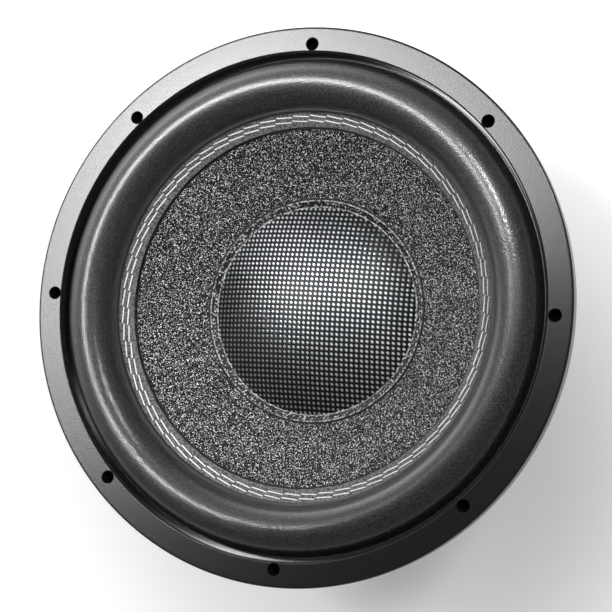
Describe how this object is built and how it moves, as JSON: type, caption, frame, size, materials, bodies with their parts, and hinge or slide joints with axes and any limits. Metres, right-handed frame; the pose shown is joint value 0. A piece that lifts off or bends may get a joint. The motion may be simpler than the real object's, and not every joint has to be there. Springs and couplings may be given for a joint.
{
  "type": "car subwoofer speaker",
  "caption": "Round car subwoofer driver: stitched foam roll surround, paper cone and woven dust cap in a windowed basket with a double magnet motor and push terminals.",
  "frame": {"origin": "centre of the bolt circle on the rear face of the flange, which lies against the baffle", "axes": "+Z along the driver's axis, the way the cone faces; +Y towards the first coil's terminal"},
  "size_m": [0.316, 0.316, 0.1655],
  "materials": {
    "trim_ring": "satin",
    "basket": "matte",
    "surround": "satin",
    "cone_paper": "matte",
    "dust_cap": "gloss",
    "former": "satin",
    "winding": "satin",
    "spider": "matte",
    "motor_steel": "satin",
    "ferrite": "matte",
    "vent_screen": "matte",
    "boot": "matte",
    "screws": "satin",
    "terminal": "matte",
    "contact": "satin",
    "red_button": "gloss",
    "black_button": "gloss",
    "spring": "satin",
    "lead": "satin",
    "thread": "matte"
  },
  "bodies": {
    "frame": {"trim_ring": "trim_ring", "flange": "basket", "basket": "basket", "surround": "surround", "spider": "spider", "front_plate": "motor_steel", "front_magnet": "ferrite", "rear_magnet": "ferrite", "pole_yoke": "motor_steel", "vent_screen": "vent_screen", "magnet_boot": "boot", "motor_screws": "screws", "terminal_screws": "screws", "coil_a_terminal": "terminal", "coil_a_contacts": "contact", "coil_a_red_spring": "spring", "coil_a_red_lead": "lead", "coil_a_black_spring": "spring", "coil_a_black_lead": "lead", "coil_b_terminal": "terminal", "coil_b_contacts": "contact", "coil_b_red_spring": "spring", "coil_b_red_lead": "lead", "coil_b_black_spring": "spring", "coil_b_black_lead": "lead"},
    "diaphragm": {"cone": "cone_paper", "dust_cap": "dust_cap", "coil_former": "former", "inner_winding": "winding", "outer_winding": "winding"},
    "coil_a_red_button": {"coil_a_red_button": "red_button"},
    "coil_a_black_button": {"coil_a_black_button": "black_button"},
    "coil_b_red_button": {"coil_b_red_button": "red_button"},
    "coil_b_black_button": {"coil_b_black_button": "black_button"}
  },
  "joints": [
    {"name": "cone_stroke", "type": "slide", "parent": "frame", "child": "diaphragm", "axis": [0, 0, 1], "range_m": [-0.015, 0.015], "stiffness_N_per_m": 6000, "deforming": ["surround", "spider", "coil_a_red_lead", "coil_a_black_lead", "coil_b_red_lead", "coil_b_black_lead"]},
    {"name": "coil_a_red_press", "type": "slide", "parent": "frame", "child": "coil_a_red_button", "axis": [0, -1, 0], "range_m": [0, 0.0035], "stiffness_N_per_m": 400, "springref_m": -0.002, "deforming": ["coil_a_red_spring"]},
    {"name": "coil_a_black_press", "type": "slide", "parent": "frame", "child": "coil_a_black_button", "axis": [0, -1, 0], "range_m": [0, 0.0035], "stiffness_N_per_m": 400, "springref_m": -0.002, "deforming": ["coil_a_black_spring"]},
    {"name": "coil_b_red_press", "type": "slide", "parent": "frame", "child": "coil_b_red_button", "axis": [0, 1, 0], "range_m": [0, 0.0035], "stiffness_N_per_m": 400, "springref_m": -0.002, "deforming": ["coil_b_red_spring"]},
    {"name": "coil_b_black_press", "type": "slide", "parent": "frame", "child": "coil_b_black_button", "axis": [0, 1, 0], "range_m": [0, 0.0035], "stiffness_N_per_m": 400, "springref_m": -0.002, "deforming": ["coil_b_black_spring"]}
  ]
}
